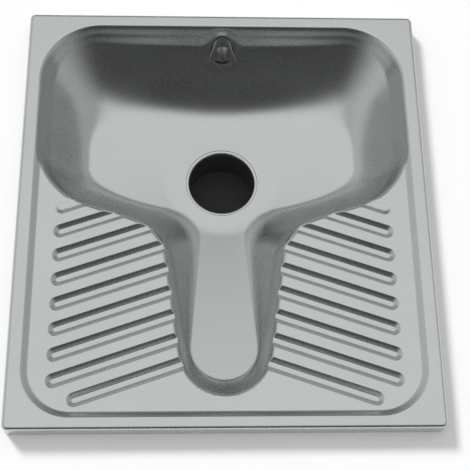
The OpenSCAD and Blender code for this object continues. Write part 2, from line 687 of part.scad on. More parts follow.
module anchor_lug_back_right() { place_lug(1, 1); }

channel_top = -tray_depth - groove_depth - sheet - channel_gap;
channel_height = lip_height - channel_lift + channel_top;
module channel(x, length) {
    w = channel_width/2;
    t = channel_sheet;
    back = heel_y + (x - w - channel_flange - heel_x)*tan(heel_angle) - channel_setback;
    translate([0, back, channel_top]) rotate([90, 0, 0]) linear_extrude(length) polygon([
        [-w - channel_flange, 0], [t - w, 0], [t - w, t - channel_height], [w - t, t - channel_height],
        [w - t, 0], [w + channel_flange, 0], [w + channel_flange, -t], [w, -t], [w, -channel_height],
        [-w, -channel_height], [-w, -t], [-w - channel_flange, -t]]);
}
module place_channel(side, inset, length) {
    x = tray_half - inset;
    color(dull_steel) translate([side*x, 0, 0]) channel(x, length);
}
module channel_left_outer() { place_channel(-1, channel_outer_in, channel_long); }
module channel_left_inner() { place_channel(-1, channel_inner_in, channel_short); }
module channel_right_outer() { place_channel(1, channel_outer_in, channel_long); }
module channel_right_inner() { place_channel(1, channel_inner_in, channel_short); }

// ---------------------------------------------------------------- bonding point
module bonding_tag() {
    color(dull_steel) translate([lip_inside, -tag_y, tag_lift - lip_height]) rotate([0, 0, 180])
        angle_piece(tag_width, tag_height, tag_reach, tag_sheet, tag_bend, tag_corner,
                    tag_reach - tag_edge - tag_hole_d/2, tag_hole_d);
}

// ---------------------------------------------------------------- the part, standing on its lip's foot
module seated() translate([0, 0, lip_height]) children();

seated() pan();
seated() drain_collar();
seated() outlet_spigot();
seated() flush_spreader();
seated() front_gasket();
seated() rear_gasket();
seated() inlet_washer();
seated() inlet_backnut();
seated() flush_pipe_sleeve();
seated() sleeve_clip_tail();
seated() sleeve_clip_pipe();
seated() anchor_lug_front_left();
seated() anchor_lug_front_right();
seated() anchor_lug_back_left();
seated() anchor_lug_back_right();
seated() channel_left_outer();
seated() channel_left_inner();
seated() channel_right_outer();
seated() channel_right_inner();
seated() bonding_tag();
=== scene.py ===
import bmesh
import bpy
import math
import numpy as np
from mathutils import Matrix, Vector


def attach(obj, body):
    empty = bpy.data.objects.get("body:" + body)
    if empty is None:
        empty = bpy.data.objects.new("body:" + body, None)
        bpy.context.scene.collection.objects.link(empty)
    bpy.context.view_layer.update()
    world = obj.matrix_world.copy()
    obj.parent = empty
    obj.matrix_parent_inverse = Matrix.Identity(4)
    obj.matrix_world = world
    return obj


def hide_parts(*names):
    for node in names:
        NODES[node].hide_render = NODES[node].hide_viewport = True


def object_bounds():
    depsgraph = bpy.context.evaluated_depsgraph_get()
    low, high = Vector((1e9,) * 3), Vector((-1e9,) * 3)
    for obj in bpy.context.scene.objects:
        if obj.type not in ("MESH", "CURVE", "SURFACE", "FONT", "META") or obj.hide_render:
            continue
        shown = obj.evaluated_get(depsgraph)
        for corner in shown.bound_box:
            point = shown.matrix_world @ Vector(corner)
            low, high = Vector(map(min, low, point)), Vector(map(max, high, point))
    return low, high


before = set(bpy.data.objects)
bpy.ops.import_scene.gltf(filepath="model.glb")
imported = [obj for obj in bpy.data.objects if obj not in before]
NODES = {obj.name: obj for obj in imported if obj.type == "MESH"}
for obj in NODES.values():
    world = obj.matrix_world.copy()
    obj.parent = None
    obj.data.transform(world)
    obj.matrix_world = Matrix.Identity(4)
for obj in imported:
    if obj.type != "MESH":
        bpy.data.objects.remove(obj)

box_at_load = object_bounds()
scene = bpy.context.scene

# ------------------------------------------------------------------ sizes in mm, as in the CAD source
# Heights are below the flange's top face; LIFT brings them to the frame, whose origin is at the lip's foot.
HALF_W, HALF_L, SHEET = 300.0, 325.0, 1.5
LIP, DRAFT, EDGE_R = 30.0, 0.6, 6.0
TRAY_HALF, TRAY_FRONT, TRAY_BACK = 280.0, -309.0, 306.0
TRAY_DEPTH, TRAY_STEP, CORNER_FRONT, CORNER_BACK = 8.0, 11.0, 70.0, 94.0
HEEL_X, HEEL_Y, HEEL_A, BOWL_CORNER = 216.0, 4.0, math.radians(18.4), 74.0
GROOVES, PITCH, GROOVE_A, GROOVE_DEPTH = 8, 36.5, math.radians(18.8), 6.5
GROOVE_FLOOR, GROOVE_SIDE, GROOVE_MARGIN, GROOVE_GAP, GROOVE_FADE = 5.2, 8.5, 38.0, 24.0, 60.0
GROOVE_CAP = (GROOVE_FLOOR + GROOVE_SIDE) / 2
DRAIN_Y, DRAIN_Z, SEAT_R, FALL, FALL_BLEND = 94.0, -128.0, 70.3, 0.21, 24.0
FLOOR_Y, FLOOR_HALF, FLOOR_BACK, FLOOR_FRONT, FLOOR_SQUARE = 106.0, 206.0, 90.0, 62.0, 4.4
WALL_SWEEP, WALL_ROUND = 0.7, 20.0
TROUGH_Y, TROUGH_R, TROUGH_A = -213.0, 68.0, math.radians(8.6)
SLOT_Y, SLOT_R, SLOT_A = -191.0, 48.0, math.radians(4.9)
THROAT, SHOULDER = 60.0, 44.0
GROOVE_Y = DRAIN_Y - 124.5
INLET_Y, PROBE, LAND_R, LAND_BLEND = 281.0, 8.0, 24.0, 14.0
DRAIN_HOLE, COLLAR_R, ROLL_R, ROLL, NECK_IN = 57.3, 57.0, 55.7, 4.0, 51.7
LIFT = LIP
MM = 0.001


# ------------------------------------------------------------------ the pressing's height, as in the CAD
def clamp01(t):
    return np.clip(t, 0, 1)


def ease(t):
    c = clamp01(t)
    return c * c * (3 - 2 * c)


def smooth_min(a, b, k):
    h = np.maximum(k - np.abs(a - b), 0) / k
    return np.minimum(a, b) - h * h * k / 4


def smooth_max(a, b, k):
    return -smooth_min(-a, -b, k)


def corner_in(a, b, r):
    inner = r - np.hypot(np.maximum(r - a, 0), np.maximum(r - b, 0))
    return np.where((a >= r) & (b >= r), np.minimum(a, b), inner)


def back_in(x, y):
    return corner_in(TRAY_HALF - np.abs(x), TRAY_BACK - y, CORNER_BACK)


def tray_in(x, y):
    front = corner_in(TRAY_HALF - np.abs(x), y - TRAY_FRONT, CORNER_FRONT)
    return np.minimum(back_in(x, y), front)


def hollow_in(x, y):
    heel = math.cos(HEEL_A) * (y - HEEL_Y) - math.sin(HEEL_A) * (np.abs(x) - HEEL_X)
    bowl = corner_in(back_in(x, y), heel, BOWL_CORNER)
    s, c = math.sin(TROUGH_A), math.cos(TROUGH_A)
    along = np.abs(x) * s + (y - TROUGH_Y) * c
    across = np.abs(x) * c - (y - TROUGH_Y) * s
    trough = TROUGH_R - np.where(along < 0, np.hypot(x, y - TROUGH_Y), across)
    return smooth_max(bowl, np.minimum(trough, DRAIN_Y - y), SHOULDER)


def floor_out(x, y):
    dy = y - FLOOR_Y
    b, q = np.where(dy > 0, FLOOR_BACK, FLOOR_FRONT), np.where(dy > 0, FLOOR_SQUARE, 2)
    u, v = np.abs(x) / FLOOR_HALF, np.abs(dy) / b
    rho = np.maximum((u ** q + v ** q) ** (1 / q), 1e-6)
    grade = np.hypot((u / rho) ** (q - 1) / FLOOR_HALF, (v / rho) ** (q - 1) / b)
    oval = np.where(rho < 0.001, -b, (rho - 1) / grade)
    s, c = math.sin(SLOT_A), math.cos(SLOT_A)
    along = -np.abs(x) * s + (y - SLOT_Y) * c
    across = np.abs(x) * c + (y - SLOT_Y) * s
    slot = np.maximum(np.where(along < 0, np.hypot(x, y - SLOT_Y), across) - SLOT_R, y - DRAIN_Y)
    return smooth_min(oval, slot, THROAT)


def floor_z(x, y):
    t = np.hypot(x, y - DRAIN_Y) - SEAT_R
    rise = np.where(t < 0, 0, np.where(t < FALL_BLEND, t * t / (2 * FALL_BLEND), t - FALL_BLEND / 2))
    return DRAIN_Z + FALL * rise


def groove_line_y(i):
    return GROOVE_Y - i * PITCH


def groove_end_x(i):
    x = TRAY_HALF - GROOVE_MARGIN
    while x > TROUGH_R:
        if tray_in(x, groove_line_y(i) - (x - HEEL_X) * math.tan(GROOVE_A)) > GROOVE_GAP:
            return x
        x -= 2
    return x


groove_ends = np.array([groove_end_x(i) for i in range(-1, GROOVES)])


def groove_full(i):
    meet = HEEL_X + (groove_line_y(i) - HEEL_Y) / (math.tan(GROOVE_A) + math.tan(HEEL_A))
    run = max(groove_ends[i + 1] - meet, 0) / math.cos(GROOVE_A)
    return GROOVE_DEPTH * min(1, run / GROOVE_FADE)


groove_depths = np.array([groove_full(i) for i in range(-1, GROOVES)])


def slope(t):
    """A straight slope from 0 to 1 with a rounded start and end."""
    c, r = clamp01(t), 0.25
    top = 1 - r - (1 - c) ** 2 / (2 * r)
    return np.where(c < r, c * c / (2 * r), np.where(c > 1 - r, top, c - r / 2)) / (1 - r)


def groove_at(x, y):
    back = groove_line_y(0) - (np.abs(x) - HEEL_X) * math.tan(GROOVE_A) - y
    i = np.clip(np.round(back / PITCH), -1, GROOVES - 1).astype(int)
    across = (back - i * PITCH) * math.cos(GROOVE_A)
    past = (np.abs(x) - groove_ends[i + 1]) / math.cos(GROOVE_A) + across * math.tan(GROOVE_A) + GROOVE_CAP
    off = np.where(past > 0, np.hypot(past, across), np.abs(across))
    return groove_depths[i + 1] * slope(1 - (off - GROOVE_FLOOR / 2) / GROOVE_SIDE)


def wall_z(x, y):
    inside = tray_in(x, y)
    step = TRAY_DEPTH * ease(inside / TRAY_STEP)
    a = np.maximum(hollow_in(x, y), 0)
    width = np.maximum(a + np.maximum(floor_out(x, y), 0), 1e-9)
    t = a / width
    sweep = (1 - (1 - t) ** 2) * ease(a / np.minimum(WALL_ROUND, width))
    share = ease(t) * (1 - WALL_SWEEP) + sweep * WALL_SWEEP
    hollow = share * (-floor_z(x, y) - TRAY_DEPTH)
    groove = groove_at(x, y) * ease(inside / TRAY_STEP - 1)
    k = np.maximum(np.minimum(np.minimum(groove, hollow), GROOVE_DEPTH / 2), 0.001)
    return -step - smooth_max(groove, hollow, k)


def wall_at(y):
    return float(wall_z(np.array([0.0]), np.array([float(y)]))[0])


INLET_Z = wall_at(INLET_Y)
INLET_A = math.atan((wall_at(INLET_Y + PROBE) - wall_at(INLET_Y - PROBE)) / (2 * PROBE))


def pan_z(x, y):
    off = np.hypot(x, (y - INLET_Y) / math.cos(INLET_A))
    land = INLET_Z + (y - INLET_Y) * math.tan(INLET_A)
    w = ease((LAND_R + LAND_BLEND - off) / LAND_BLEND)
    return wall_z(x, y) * (1 - w) + land * w


# ------------------------------------------------------------------ mesh helpers
def new_object(name, verts, faces, material=None, body="root", smooth=True, scale=MM):
    mesh = bpy.data.meshes.new(name)
    mesh.from_pydata([tuple(c * scale for c in v) for v in verts], [], faces)
    mesh.update()
    obj = bpy.data.objects.new(name, mesh)
    scene.collection.objects.link(obj)
    if smooth:
        mesh.polygons.foreach_set("use_smooth", [True] * len(mesh.polygons))
    if material:
        mesh.materials.append(material)
    if body:
        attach(obj, body)
    return obj


def array_object(name, points, quads, normals, material):
    """A mesh from arrays of mm points, quads and one normal per point."""
    mesh = bpy.data.meshes.new(name)
    n, q = len(points), len(quads)
    mesh.vertices.add(n)
    mesh.vertices.foreach_set("co", (points * MM).astype(np.float32).ravel())
    mesh.loops.add(4 * q)
    mesh.loops.foreach_set("vertex_index", quads.astype(np.int32).ravel())
    mesh.polygons.add(q)
    mesh.polygons.foreach_set("loop_start", np.arange(0, 4 * q, 4, dtype=np.int32))
    mesh.update(calc_edges=True)
    mesh.validate()
    mesh.polygons.foreach_set("use_smooth", [True] * len(mesh.polygons))
    mesh.normals_split_custom_set_from_vertices(normals.astype(np.float32))
    obj = bpy.data.objects.new(name, mesh)
    scene.collection.objects.link(obj)
    mesh.materials.append(material)
    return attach(obj, "root")


def spread(a, b, step):
    """Even stations from a to b, b left out."""
    n = max(1, round(abs(b - a) / step))
    return list(a + (b - a) * np.arange(n) / n)


# ------------------------------------------------------------------ materials
def node_material(name):
    m = bpy.data.materials.new(name)
    m.use_nodes = True
    tree = m.node_tree
    return m, tree, tree.nodes["Principled BSDF"]


def link(tree, a, b):
    tree.links.new(a, b)


def ramp(tree, source, low, high, start=0.3, end=0.7):
    r = tree.nodes.new("ShaderNodeMapRange")
    r.inputs["From Min"].default_value = start
    r.inputs["From Max"].default_value = end
    r.inputs["To Min"].default_value = low
    r.inputs["To Max"].default_value = high
    link(tree, source, r.inputs["Value"])
    return r.outputs["Result"]


def steel(name, colour, rough, grain=(420, 420, 420), grain_depth=0.01, blotch=0.02, seed=0.0):
    """Stainless steel: a fine even grain, faint cloudy patches and small changes of gloss."""
    m, tree, bsdf = node_material(name)
    bsdf.inputs["Metallic"].default_value = 1.0
    coord = tree.nodes.new("ShaderNodeTexCoord")
    fine = tree.nodes.new("ShaderNodeMapping")
    fine.inputs["Scale"].default_value = grain
    fine.inputs["Location"].default_value = (seed, seed, seed)
    link(tree, coord.outputs["Object"], fine.inputs["Vector"])
    lines = tree.nodes.new("ShaderNodeTexNoise")
    lines.inputs["Scale"].default_value = 1.0
    lines.inputs["Detail"].default_value = 4.0
    link(tree, fine.outputs["Vector"], lines.inputs["Vector"])
    cloud = tree.nodes.new("ShaderNodeTexNoise")
    cloud.inputs["Scale"].default_value = 9.0
    cloud.inputs["Detail"].default_value = 3.0
    link(tree, coord.outputs["Object"], cloud.inputs["Vector"])
    mix = tree.nodes.new("ShaderNodeMix")
    mix.data_type = "RGBA"
    mix.inputs[6].default_value = (*[c * (1 - blotch) for c in colour], 1)
    mix.inputs[7].default_value = (*[min(1, c * (1 + blotch)) for c in colour], 1)
    link(tree, ramp(tree, cloud.outputs["Fac"], 0, 1), mix.inputs[0])
    link(tree, mix.outputs[2], bsdf.inputs["Base Color"])
    add = tree.nodes.new("ShaderNodeMath")
    add.operation = "ADD"
    link(tree, ramp(tree, cloud.outputs["Fac"], rough - 0.015, rough + 0.015), add.inputs[0])
    link(tree, ramp(tree, lines.outputs["Fac"], -0.02, 0.02), add.inputs[1])
    link(tree, add.outputs[0], bsdf.inputs["Roughness"])
    bump = tree.nodes.new("ShaderNodeBump")
    bump.inputs["Strength"].default_value = grain_depth
    bump.inputs["Distance"].default_value = 0.0005
    link(tree, lines.outputs["Fac"], bump.inputs["Height"])
    link(tree, bump.outputs["Normal"], bsdf.inputs["Normal"])
    return m


pan_steel = steel("pan_satin_steel", (0.585, 0.605, 0.605), 0.28, grain_depth=0.006)
collar_steel = steel("collar_steel", (0.64, 0.655, 0.655), 0.25)

# ------------------------------------------------------------------ the pan
def rim_stations(outer):
    """Lip and bend as [distance in from the edge, height]."""
    sheet, steps = (0.0, 8) if outer else (SHEET, 4)
    r = EDGE_R - sheet
    out = [(sheet, -LIP), (sheet + DRAFT * 0.5, -(LIP + EDGE_R) / 2), (sheet + DRAFT, -EDGE_R)]
    for k in range(1, steps + 1):
        a = math.radians(90 * k / steps)
        out.append((sheet + DRAFT + r * (1 - math.cos(a)), -sheet - r * (1 - math.sin(a))))
    return out


RIM_ZONE = 9.0          # the outer corners are drawn round within this distance of the edge
DRAIN_ZONE = 92.0       # the mesh lines turn from squares to circles within this distance of the drain
INLET_HOLE = 15.4
KNEE = 17.0             # how softly the mesh lines bend from the grooves to the trough
SLOPE_PROBE = 0.15
BEND_STEP, FLANGE_STEP, TRAY_EDGE_STEP, TOP_STEP, LOW_STEP = 1.5, 3.5, 1.4, 2.0, 3.6
GROOVE_MARKS = (0.12, 0.25, 0.42, 0.58, 0.75, 0.88, 1.0)
LAND_LINES, LINE_GAP, FRONT_LINES, THROAT_LINES = 6, 0.4, 14, 24


def pan_skin(outer, step):
    """Points, normals and quads of the pressing's upper or lower face."""
    rim = rim_stations(outer)
    inner_edge = rim[-1][0]
    half = [(HALF_W - d, h) for d, h in rim]
    edge_step = min(step, TRAY_EDGE_STEP)
    for a, b, s in ((HALF_W - inner_edge, HALF_W - RIM_ZONE, BEND_STEP),
                    (HALF_W - RIM_ZONE, TRAY_HALF, FLANGE_STEP),
                    (TRAY_HALF, TRAY_HALF - TRAY_STEP - 1, edge_step),
                    (TRAY_HALF - TRAY_STEP - 1, DRAIN_HOLE, step), (DRAIN_HOLE, 0, step)):
        half += [(v, 0.0) for v in spread(a, b, s)][0 if len(half) > len(rim) else 1:]
    cols = [(-v, h) for v, h in half] + [(0.0, 0.0)] + [(v, h) for v, h in reversed(half)]
    cx, ch = np.array(cols).T
    knee = smooth_max(np.abs(cx), TROUGH_R, KNEE)
    slant = -(knee - HEEL_X) * math.tan(GROOVE_A)
    flat = np.zeros_like(cx)
    front, hole = TRAY_FRONT + TRAY_STEP + 1, DRAIN_Y - DRAIN_HOLE
    lines = [(flat - HALF_L + d, h) for d, h in rim]
    stops = [(-HALF_L + inner_edge, BEND_STEP), (-HALF_L + RIM_ZONE, FLANGE_STEP),
             (TRAY_FRONT, edge_step), (front, 0)]
    for (a, s), (b, _) in zip(stops, stops[1:]):
        lines += [(flat + v, 0.0) for v in spread(a, b, s)][0 if len(lines) > len(rim) else 1:]
    if outer:
        # lines along the grooves, close where a groove bends
        half_floor = GROOVE_FLOOR / 2
        marks = [half_floor * 0.4, half_floor] + [half_floor + GROOVE_SIDE * t for t in GROOVE_MARKS]
        marks = [m / math.cos(GROOVE_A) for m in marks]
        ticks = [-m for m in reversed(marks)] + marks
        along = []
        for i in reversed(range(GROOVES)):
            along += [groove_line_y(i) + m for m in ticks]
            if i:
                a, b = groove_line_y(i) + marks[-1], groove_line_y(i - 1) - marks[-1]
                along += [a + (b - a) * k / LAND_LINES for k in range(1, LAND_LINES)]
        held = [smooth_max(v + slant, front + LINE_GAP * (FRONT_LINES + k), 1.0) for k, v in enumerate(along)]
        lines += [(front + (held[0] - front) * k / FRONT_LINES, 0.0) for k in range(FRONT_LINES)]
        lines += [(v, 0.0) for v in held]
        lines += [(held[-1] + (hole - held[-1]) * k / THROAT_LINES, 0.0) for k in range(1, THROAT_LINES)]
    else:
        lines += [(flat + v, 0.0) for v in spread(front, hole, step)]
    stops = [(hole, step), (DRAIN_Y + DRAIN_HOLE, step), (TRAY_BACK - TRAY_STEP - 1, edge_step),
             (TRAY_BACK, FLANGE_STEP), (HALF_L - RIM_ZONE, BEND_STEP), (HALF_L - inner_edge, 0)]
    for (a, s), (b, _) in zip(stops, stops[1:]):
        lines += [(flat + v, 0.0) for v in spread(a, b, s)]
    lines += [(flat + HALF_L - d, h) for d, h in reversed(rim)]
    y = np.array([line for line, _ in lines])
    x = np.tile(cx, (len(lines), 1))
    h = np.minimum(ch[None, :], np.array([v for _, v in lines])[:, None])
    n_rim = len(rim)
    inside = np.zeros(x.shape, bool)
    inside[n_rim:-n_rim, n_rim:-n_rim] = True

    # square zone round the drain drawn into circles
    px, py = x, y - DRAIN_Y
    square = np.maximum(np.abs(px), np.abs(py))
    r = np.maximum(np.hypot(px, py), 1e-9)
    w = 1 - ease((square - DRAIN_HOLE) / (DRAIN_ZONE - DRAIN_HOLE))
    f = np.where(square < DRAIN_ZONE, w * square / r + (1 - w), 1)
    x, y = px * f, py * f + DRAIN_Y

    # the outer corners
    rz = RIM_ZONE
    ax, ay = (np.abs(x) - (HALF_W - rz)) / rz, (np.abs(y) - (HALF_L - rz)) / rz
    corner = (ax > 0) & (ay > 0)
    mm = np.maximum(ax, ay) * rz
    with np.errstate(divide="ignore", invalid="ignore"):
        t = np.radians(np.where(ax >= ay, 45 * ay / ax, 90 - 45 * ax / ay))
    x = np.where(corner, np.sign(x) * (HALF_W - rz + mm * np.cos(t)), x)
    y = np.where(corner, np.sign(y) * (HALF_L - rz + mm * np.sin(t)), y)

    z = np.where(inside, pan_z(x, y), h)
    e = SLOPE_PROBE
    gx = (pan_z(x + e, y) - pan_z(x - e, y)) / (2 * e)
    gy = (pan_z(x, y + e) - pan_z(x, y - e)) / (2 * e)
    up = np.stack([-gx, -gy, np.ones_like(gx)], -1)
    up /= np.linalg.norm(up, axis=-1, keepdims=True)
    p = np.stack([x, y, z], -1)
    # normals of the lip and bend, from the neighbours
    du = np.zeros_like(p)
    dv = np.zeros_like(p)
    du[:, 1:-1] = p[:, 2:] - p[:, :-2]
    du[:, 0], du[:, -1] = p[:, 1] - p[:, 0], p[:, -1] - p[:, -2]
    dv[1:-1] = p[2:] - p[:-2]
    dv[0], dv[-1] = p[1] - p[0], p[-1] - p[-2]
    nb = np.cross(du, dv)
    nb /= np.maximum(np.linalg.norm(nb, axis=-1, keepdims=True), 1e-9)
    n = np.where(inside[..., None], up, nb)
    if not outer:
        p[..., 2] = np.where(inside, p[..., 2] - SHEET / up[..., 2], p[..., 2])
        n = -n
    ny, nx = x.shape
    idx = np.arange(nx * ny).reshape(ny, nx)
    quads = np.stack([idx[:-1, :-1], idx[:-1, 1:], idx[1:, 1:], idx[1:, :-1]], -1)
    mid = 0.25 * (p[:-1, :-1] + p[:-1, 1:] + p[1:, 1:] + p[1:, :-1])
    sq = 0.25 * (square[:-1, :-1] + square[:-1, 1:] + square[1:, 1:] + square[1:, :-1])
    in_drain = sq < DRAIN_HOLE
    off = np.hypot(mid[..., 0], (mid[..., 1] - INLET_Y) / math.cos(INLET_A))
    in_inlet = off < INLET_HOLE
    quads = quads[~(in_drain | in_inlet)].reshape(-1, 4)
    if not outer:
        quads = quads[:, ::-1]
    p[..., 2] += LIFT
    return p, n, quads


top_p, top_n, top_q = pan_skin(True, TOP_STEP)
low_p, low_n, low_q = pan_skin(False, LOW_STEP)
tn = top_p.shape[0] * top_p.shape[1]
points = [top_p.reshape(-1, 3), low_p.reshape(-1, 3)]
normals = [top_n.reshape(-1, 3), low_n.reshape(-1, 3)]
quads = [top_q, low_q + tn]
base = tn + low_p.shape[0] * low_p.shape[1]


def strip(outer_line, inner_line, normal):
    """A band between two lines of as many points."""
    global base
    k = len(outer_line)
    points.append(np.concatenate([outer_line, inner_line]))
    normals.append(np.tile(np.array(normal, float), (2 * k, 1)) if np.ndim(normal) == 1
                   else np.concatenate([normal, normal]))
    i = np.arange(k - 1)
    quads.append(np.stack([i, i + 1, i + 1 + k, i + k], -1) + base)
    base += 2 * k


def loop_of(p):
    """The outer edge of a grid of points, all round."""
    return np.concatenate([p[0], p[1:, -1], p[-1, -2::-1], p[-2::-1, 0]])


def resample(line, n):
    """The same line with n points at even distances."""
    d = np.concatenate([[0], np.cumsum(np.linalg.norm(np.diff(line, axis=0), axis=1))])
    t = np.linspace(0, d[-1], n)
    return np.stack([np.interp(t, d, line[:, k]) for k in range(3)], -1)


# the lip's foot, all round, and the edge of the drain's hole
FOOT_POINTS, RING_POINTS = 400, 145
foot_out, foot_in = loop_of(top_p), loop_of(low_p)
strip(resample(foot_in, FOOT_POINTS), resample(foot_out, FOOT_POINTS), (0, 0, -1))
ring_a = np.linspace(0, 2 * math.pi, RING_POINTS)
ring = np.stack([DRAIN_HOLE * np.cos(ring_a), DRAIN_Y + DRAIN_HOLE * np.sin(ring_a),
                 np.full(RING_POINTS, DRAIN_Z + LIFT)], -1)
inward = np.stack([-np.cos(ring_a), -np.sin(ring_a), np.zeros(RING_POINTS)], -1)
strip(ring, ring - [0, 0, SHEET], inward)
pan = array_object("pan_pressing", np.concatenate(points), np.concatenate(quads),
                   np.concatenate(normals), pan_steel)
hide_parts("pan")


def lathe(name, profile, matrix, material, segments, closed=True):
    """A body of revolution about its own Z, from [radius, height] points in mm."""
    k = len(profile)
    verts, faces = [], []
    for s in range(segments):
        a = 2 * math.pi * s / segments
        verts += [(r * math.cos(a), r * math.sin(a), h) for r, h in profile]
    for s in range(segments):
        t = (s + 1) % segments
        for i in range(k if closed else k - 1):
            j = (i + 1) % k
            faces.append((s * k + i, t * k + i, t * k + j, s * k + j))
    verts = [matrix @ Vector(v) for v in verts]
    return new_object(name, verts, faces, material)


def arc(cx, cy, r, a, b, steps):
    return [(cx + r * math.cos(math.radians(a + (b - a) * k / steps)),
             cy + r * math.sin(math.radians(a + (b - a) * k / steps))) for k in range(steps + 1)]


at_drain = Matrix.Translation((0, DRAIN_Y, DRAIN_Z + LIFT))
at_inlet = Matrix.Translation((0, INLET_Y, INLET_Z + LIFT)) @ Matrix.Rotation(INLET_A, 4, "X")

profile = ([(COLLAR_R, 0.0)] + arc(ROLL_R, -ROLL, ROLL, 90, 180, 10)
           + [(NECK_IN, -10.0), (NECK_IN, -15.6), (NECK_IN + 0.4, -16.0)]
           + [(NECK_IN + 1.1, -16.0), (NECK_IN + 1.5, -15.6)]
           + arc(ROLL_R, -ROLL, ROLL - SHEET, 180, 90, 6) + [(COLLAR_R, -SHEET)])
collar = lathe("drain_collar_ring", profile[::-1], at_drain, collar_steel, 128)
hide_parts("drain_collar")


# ------------------------------------------------------------------ what the CAD's own pieces are made of
def rubber(name, seed):
    """Black moulded rubber: a fine rough skin with faint dusty patches."""
    m, tree, bsdf = node_material(name)
    coord = tree.nodes.new("ShaderNodeTexCoord")
    place = tree.nodes.new("ShaderNodeMapping")
    place.inputs["Location"].default_value = (seed, seed, seed)
    link(tree, coord.outputs["Object"], place.inputs["Vector"])
    skin, dust = tree.nodes.new("ShaderNodeTexNoise"), tree.nodes.new("ShaderNodeTexNoise")
    for node, size in ((skin, 900.0), (dust, 55.0)):
        node.inputs["Scale"].default_value = size
        node.inputs["Detail"].default_value = 4.0
        link(tree, place.outputs["Vector"], node.inputs["Vector"])
    mix = tree.nodes.new("ShaderNodeMix")
    mix.data_type = "RGBA"
    mix.inputs[6].default_value = (0.014, 0.014, 0.015, 1)
    mix.inputs[7].default_value = (0.036, 0.035, 0.034, 1)
    link(tree, ramp(tree, dust.outputs["Fac"], 0, 1), mix.inputs[0])
    link(tree, mix.outputs[2], bsdf.inputs["Base Color"])
    link(tree, ramp(tree, dust.outputs["Fac"], 0.52, 0.72), bsdf.inputs["Roughness"])
    bump = tree.nodes.new("ShaderNodeBump")
    bump.inputs["Strength"].default_value = 0.25
    bump.inputs["Distance"].default_value = 0.0003
    link(tree, skin.outputs["Fac"], bump.inputs["Height"])
    link(tree, bump.outputs["Normal"], bsdf.inputs["Normal"])
    return m


spigot_steel = steel("spigot_steel", (0.42, 0.425, 0.43), 0.34, (30, 30, 700), 0.05, 0.04, seed=3)
bracket_steel = steel("bracket_steel", (0.38, 0.385, 0.39), 0.38, (60, 500, 500), 0.06, 0.06, seed=5)
fastener_steel = steel("fastener_steel", (0.48, 0.485, 0.49), 0.28, (300, 300, 300), 0.03, 0.03, seed=7)
spreader_steel = steel("spreader_steel", (0.5, 0.51, 0.512), 0.3, grain_depth=0.02, seed=9)
weld_steel = steel("weld_steel", (0.33, 0.325, 0.32), 0.36, (500, 500, 500), 0.12, 0.16, seed=13)
turned_brass = steel("turned_brass", (0.6, 0.41, 0.16), 0.3, (500, 500, 60), 0.05, 0.07, seed=11)
# each piece's material, and how far its edges are rounded in mm
EDGE_ROUND = 0.25
LOOKS = {"flush_spreader": (spreader_steel, 0.5),
         "outlet_spigot": (spigot_steel, 0.3),
         "inlet_backnut": (turned_brass, 0.4),
         "flush_pipe_sleeve": (rubber("sleeve_rubber", 2.0), 0.4),
         "front_gasket": (rubber("gasket_rubber", 4.0), 0.4),
         "rear_gasket": (rubber("rear_gasket_rubber", 6.0), 0.4)}


def soften(node, width):
    """Rounds a CAD piece's sharp edges by a width in mm."""
    bevel = node.modifiers.new("edges", "BEVEL")
    bevel.width = width * MM
    bevel.segments = 2
    bevel.limit_method = "ANGLE"
    bevel.angle_limit = math.radians(40)
    bevel.harden_normals = True


for name, node in NODES.items():
    if name in ("pan", "drain_collar"):
        continue
    bracket = name.startswith(("anchor", "channel")) or name == "bonding_tag"
    material, width = LOOKS.get(name, (bracket_steel if bracket else fastener_steel, EDGE_ROUND))
    node.data.materials.clear()
    node.data.materials.append(material)
    soften(node, width)


# ------------------------------------------------------------------ welds, thread and the clips' ribs
def bar(path, radii, axis=(0, 0, 1), sides=8, closed=False):
    """Points and faces of a round bar along a path that never runs along the axis."""
    n, points, axis = len(path), [], Vector(axis)
    for k, (p, r) in enumerate(zip(path, radii)):
        ahead = path[(k + 1) % n] if closed or k < n - 1 else p
        behind = path[k - 1] if closed or k else p
        along = Vector(ahead) - Vector(behind)
        out = along.cross(axis).normalized()
        rise = out.cross(along).normalized()
        points += [Vector(p) + (out * math.cos(a) + rise * math.sin(a)) * r
                   for a in np.linspace(0, 2 * math.pi, sides, endpoint=False)]
    faces = [(k * sides + s, k * sides + (s + 1) % sides,
              (k + 1) % n * sides + (s + 1) % sides, (k + 1) % n * sides + s)
             for k in range(n if closed else n - 1) for s in range(sides)]
    if not closed:
        faces += [tuple(range(sides)), tuple(range((n - 1) * sides, n * sides))]
    return points, faces


def brick(centre, size, turn):
    """Points and faces of a small block, turned about Z."""
    c, s = math.cos(turn), math.sin(turn)
    points = []
    for sx, sy, sz in [(i, j, k) for k in (-0.5, 0.5) for j in (-0.5, 0.5) for i in (-0.5, 0.5)]:
        x, y = sx * size[0], sy * size[1]
        points.append(Vector(centre) + Vector((x * c - y * s, x * s + y * c, sz * size[2])))
    return points, [(0, 2, 3, 1), (4, 5, 7, 6), (0, 1, 5, 4), (2, 6, 7, 3), (0, 4, 6, 2), (1, 3, 7, 5)]


def dome(centre, r, height, sides=14):
    """Points and faces of a shallow round dimple that points down."""
    points, x, y, z = [], *centre
    for share, level in ((1.0, 0.0), (0.8, 0.7), (0.45, 1.0)):
        points += [(x + r * share * math.cos(a), y + r * share * math.sin(a), z - height * level)
                   for a in np.linspace(0, 2 * math.pi, sides, endpoint=False)]
    faces = [(k * sides + s, k * sides + (s + 1) % sides,
              (k + 1) * sides + (s + 1) % sides, (k + 1) * sides + s)
             for k in range(2) for s in range(sides)]
    return points, faces + [tuple(range(2 * sides, 3 * sides)), tuple(range(sides))]


